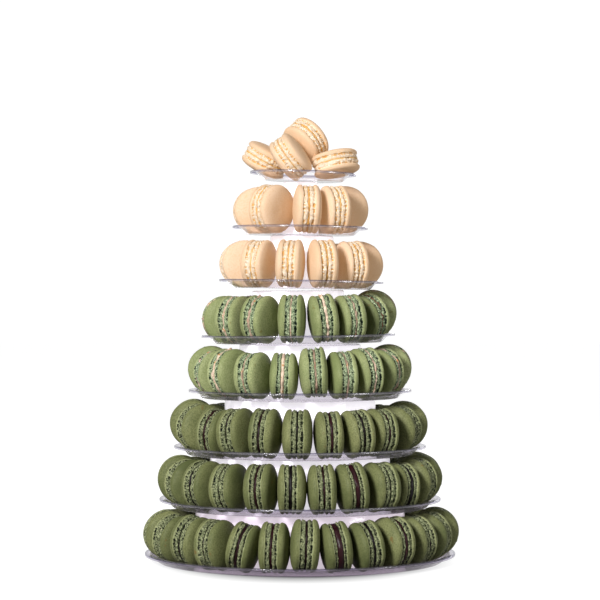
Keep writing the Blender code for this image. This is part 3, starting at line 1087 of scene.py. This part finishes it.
def shell_look(name, look):
    """A satin dome with a fine grain, and a ruffled foot with pits beside the dome. The ruffle's
    hollows and the pits are painted dark as shade.
    """
    tree = Tree(bpy.data.materials.new(name))
    foot = tree.value("foot")
    grain = tree.in_space(GRAIN)
    ruffle = tree.along_edge(Noise(look.ruffles, RUFFLE_DETAIL, RUFFLE_ROUGHNESS), look.finer)
    # Painted shade: the ruffle's hollows take the foot's dark colour.
    frill = tree.mix(tree.ramp(ruffle, *RUFFLE_RANGE), look.foot_dark, look.foot)
    base = tree.mix(tree.ramp(foot, *FOOT_RANGE), dome_colour(tree, look, grain), frill)
    pits = pit_share(tree, look)
    normal = tree.bump(tree.in_space(SKIN), *SKIN_RELIEF)
    normal = tree.bump(tree.times(ruffle, foot), look.relief, RUFFLE_STRENGTH, normal)
    normal = tree.bump(tree.math("SUBTRACT", 1.0, pits), *PIT_RELIEF, normal)
    # Painted shade: the pits take the pit colour.
    shader = tree.add(
        "ShaderNodeBsdfPrincipled",
        Base_Color=tree.mix(pits, base, look.pit),
        Roughness=tree.ramp(grain, *ROUGHNESS_RANGE),
        Specular_IOR_Level=SATIN,
        Normal=normal,
        Emission_Color=GLOW_COLOUR,
        Emission_Strength=look.glow,
    )
    return tree.finish(shader)


# A filling's colours, how much of it is crumbs, and how rough it is.
FillingLook = namedtuple("FillingLook", "light dark crumb crumbs roughness")
FILLING_LOOKS = {
    "golden_filling": FillingLook(
        light=(0.78, 0.52, 0.20),
        dark=(0.55, 0.27, 0.06),
        crumb=(0.80, 0.62, 0.36),
        crumbs=0.32,
        roughness=0.45,
    ),
    "caramel_filling": FillingLook(
        light=(0.74, 0.57, 0.43),
        dark=(0.13, 0.065, 0.035),
        crumb=(0.46, 0.23, 0.08),
        crumbs=0.36,
        roughness=0.5,
    ),
    "berry_filling": FillingLook(
        light=(0.022, 0.003, 0.005),
        dark=(0.002, 0.0004, 0.0007),
        crumb=(0.05, 0.012, 0.010),
        crumbs=0.28,
        roughness=0.35,
    ),
}
LUMPS = Noise(260, 3, 0.6)
LUMP_RANGE = (0.35, 0.65)
LUMP_SHARE = 0.5
EVEN_SHARE = 0.6
CRUMBS = Noise(330, 1)
CRUMB_SOFTNESS = 0.06
FILLING_SKIN = Noise(900, 3)
FILLING_RELIEF = (0.0004, 0.7)


def filling_look(name, look):
    """Between a dark and a light colour by the filling's tone, with scattered crumbs."""
    tree = Tree(bpy.data.materials.new(name))
    lumps = tree.times(tree.ramp(tree.in_space(LUMPS), *LUMP_RANGE), LUMP_SHARE)
    share = tree.times(tree.value("tone"), tree.math("ADD", lumps, EVEN_SHARE))
    base = tree.mix(share, look.dark, look.light)
    from_noise = 1 - look.crumbs
    crumbs = tree.ramp(tree.in_space(CRUMBS), from_noise, from_noise + CRUMB_SOFTNESS)
    shader = tree.add(
        "ShaderNodeBsdfPrincipled",
        Base_Color=tree.mix(crumbs, base, look.crumb),
        Roughness=look.roughness,
        Specular_IOR_Level=SATIN,
        Normal=tree.bump(tree.in_space(FILLING_SKIN), *FILLING_RELIEF),
    )
    return tree.finish(shader)


# The sheet's colour where it is clear, where painted shade darkens it, and where the rim has
# its painted dark lines, and the drum's where it is milky, which painted shade darkens on the
# lowest tier. The glow stands in for the studio's light that a milky wall gathers.
CLEAR = (0.975, 0.97, 0.982)
SHADED_SHEET = (0.78, 0.74, 0.80)
RIM = (0.36, 0.35, 0.47)
MILK = (0.93, 0.90, 0.95)
SHADED_MILK = (0.80, 0.715, 0.79)
SHADED_MILK_RANGE = (0.6, 0.85)
MILKINESS = 0.8
MILK_GLOW = 0.76
CLOUDY = Noise(60, 3)
CLOUDY_RANGE = (0.2, 0.8)
CLOUDY_SHARE = 0.04

# Reflections: how rough and rippled they are, and how much there is at a straight and at
# a grazing view.
GLOSS_ROUGHNESS = 0.12
RIPPLES = Noise(35, 2)
RIPPLE_RELIEF = (0.0004, 0.2)
STRAIGHT_SHARE = 0.035
GRAZING_SHARE = 0.9
GRAZING_POWER = 5.0


def plastic_body(tree):
    """Clear sheet with painted shade, darker on the lower tiers, and painted dark lines at the
    rim, with a milky wall at the drum.
    """
    # Painted shade: the sheet and the milky wall are darker on the lower tiers.
    smoke = tree.value("smoke")
    through = tree.mix(smoke, CLEAR, SHADED_SHEET)
    through = tree.mix(tree.value("rim"), through, RIM)
    milk = tree.mix(tree.ramp(smoke, *SHADED_MILK_RANGE), MILK, SHADED_MILK)
    haze = tree.add("ShaderNodeBsdfDiffuse", Color=milk)
    glow = tree.add("ShaderNodeEmission", Color=milk, Strength=seen_light(tree, MILK_GLOW))
    milky = tree.add("ShaderNodeAddShader")
    tree.set(milky, 0, haze.outputs[0])
    tree.set(milky, 1, glow.outputs[0])
    cloudy = tree.times(tree.ramp(tree.in_space(CLOUDY), *CLOUDY_RANGE), CLOUDY_SHARE)
    share = tree.math("ADD", cloudy, tree.times(tree.value("milk"), MILKINESS))
    return tree.blend(share, tree.add("ShaderNodeBsdfTransparent", Color=through), milky)


def plastic_look():
    """Clear plastic with soft reflections."""
    tree = Tree(bpy.data.materials.new("clear_plastic"))
    body = plastic_body(tree)
    ripple = tree.bump(tree.in_space(RIPPLES), *RIPPLE_RELIEF)
    gloss = tree.add(
        "ShaderNodeBsdfGlossy", Color=WHITE, Roughness=GLOSS_ROUGHNESS, Normal=ripple
    )
    facing = tree.add("ShaderNodeLayerWeight", Normal=ripple).outputs["Facing"]
    grazing = tree.times(tree.math("POWER", facing, GRAZING_POWER), GRAZING_SHARE)
    return tree.finish(tree.blend(tree.math("ADD", grazing, STRAIGHT_SHARE), body, gloss))


def make_looks():
    looks = {name: shell_look(name, look) for name, look in SHELL_LOOKS.items()}
    looks.update({name: filling_look(name, look) for name, look in FILLING_LOOKS.items()})
    looks["clear_plastic"] = plastic_look()
    return looks


# --- camera, light and floor ------------------------------------------------------------

CAMERA_PLACE = (0, -2.3, 0.260)
CAMERA_LENS = 138

# The backdrop and the floor are seen white but light next to nothing, and the room's own
# light is faint.
ROOM_LIGHT = 0.006
BACKDROP_LIGHT = 1.05
FLOOR_LIGHT = 1.0
FLOOR_SIZE = 12
FLOOR_COLOUR = (0.22, 0.22, 0.22)
FLOOR_ROUGHNESS = 0.9

# The soft shade on the floor fades out between two radii, measured once the floor's width
# and depth are shortened to these shares. The power makes it fade sooner.
SHADE_WIDTH = 0.92
SHADE_DEPTH = 0.67
SHADE_FROM = 0.088
SHADE_TO = 0.150
SHADE_POWER = 0.65

# Square panels, all aimed at the same point: the key from the left, a fill from the far
# right, and a weak one from behind.
Panel = namedtuple("Panel", "name place size power")
PANELS = [
    Panel("key", (-1.15, -2.2, 1.25), 0.6, 114),
    Panel("fill", (2.1, -1.0, 0.6), 0.7, 19),
    Panel("back", (0.6, 2.3, 1.0), 0.8, 11),
]
AIM = Vector((0, 0, 0.2))


def add_camera():
    data = bpy.data.cameras.new("camera")
    data.lens = CAMERA_LENS
    camera = new_object("camera", data)
    camera.location = CAMERA_PLACE
    camera.rotation_euler = (math.pi / 2, 0, 0)
    bpy.context.scene.camera = camera


def floor_look():
    """White, with a soft shade close round the tower."""
    tree = Tree(bpy.data.materials.new("floor"))
    place = tree.add("ShaderNodeTexCoord").outputs["Object"]
    shorter = tree.add("ShaderNodeVectorMath", {"operation": "MULTIPLY"})
    tree.set(shorter, 0, place)
    tree.set(shorter, 1, (SHADE_WIDTH, SHADE_DEPTH, 1))
    away = tree.add("ShaderNodeVectorMath", {"operation": "LENGTH"})
    tree.set(away, 0, shorter.outputs[0])
    lit = tree.ramp(away.outputs["Value"], SHADE_FROM, SHADE_TO)
    glow = tree.times(tree.math("POWER", lit, SHADE_POWER), seen_light(tree, FLOOR_LIGHT))
    shader = tree.add(
        "ShaderNodeBsdfPrincipled",
        Base_Color=FLOOR_COLOUR,
        Roughness=FLOOR_ROUGHNESS,
        Specular_IOR_Level=0.0,
        Emission_Color=WHITE,
        Emission_Strength=glow,
    )
    return tree.finish(shader)


def add_floor():
    mesh = bpy.data.meshes.new("floor")
    size = FLOOR_SIZE
    corners = [(-size, -size, 0), (size, -size, 0), (size, size, 0), (-size, size, 0)]
    mesh.from_pydata(corners, [], [(0, 1, 2, 3)])
    mesh.materials.append(floor_look())
    floor = new_object("floor", mesh)
    floor.location = (0, 0, -GAP)


def add_backdrop():
    world = bpy.data.worlds.new("studio")
    tree = Tree(world)
    strength = tree.math("ADD", seen_light(tree, BACKDROP_LIGHT), ROOM_LIGHT, clamp=False)
    background = tree.add("ShaderNodeBackground", Color=WHITE, Strength=strength)
    output = tree.add("ShaderNodeOutputWorld")
    tree.set(output, "Surface", background.outputs[0])
    bpy.context.scene.world = world


def add_panel(panel):
    data = bpy.data.lights.new(panel.name, "AREA")
    data.size = panel.size
    data.energy = panel.power
    light = new_object(panel.name, data)
    light.location = panel.place
    light.rotation_euler = (Vector(panel.place) - AIM).to_track_quat("Z", "Y").to_euler()


def main():
    bpy.context.scene.view_settings.view_transform = "Standard"
    add_camera()
    add_floor()
    add_backdrop()
    for panel in PANELS:
        add_panel(panel)
    looks = make_looks()
    for tier in range(1, TIER_COUNT + 1):
        add_tray(tier, looks)
    piled_macarons(looks)
    for tier in LOOSE_TIERS:
        loose_macarons(tier, looks)
    for tier in CROWDED_TIERS:
        crowded_macarons(tier, looks)


main()
